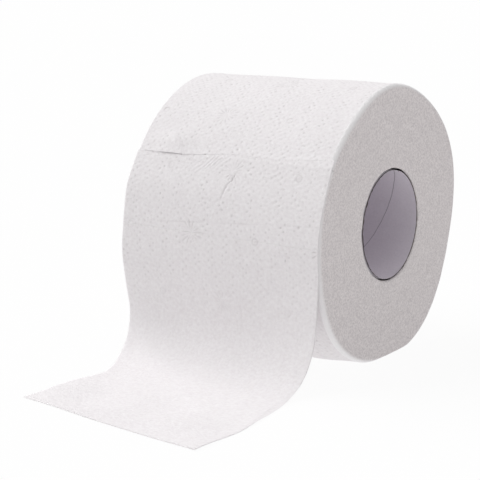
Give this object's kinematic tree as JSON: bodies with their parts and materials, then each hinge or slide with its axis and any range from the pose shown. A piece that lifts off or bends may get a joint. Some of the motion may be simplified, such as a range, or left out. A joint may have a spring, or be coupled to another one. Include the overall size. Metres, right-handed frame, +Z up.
{
  "type": "toilet paper roll",
  "caption": "Roll of embossed toilet tissue on a cardboard core, with its last sheet hanging over the front and out across the floor.",
  "frame": {"origin": "centre of the core's bore, halfway along the roll", "axes": "+X along the bore, -Y the front, where the loose sheet hangs, +Z up"},
  "size_m": [0.095, 0.1946, 0.1126],
  "materials": {
    "tissue": "matt",
    "greyboard": "matt"
  },
  "bodies": {
    "root": {"paper_web": "tissue", "core_tube": "greyboard"}
  },
  "joints": []
}
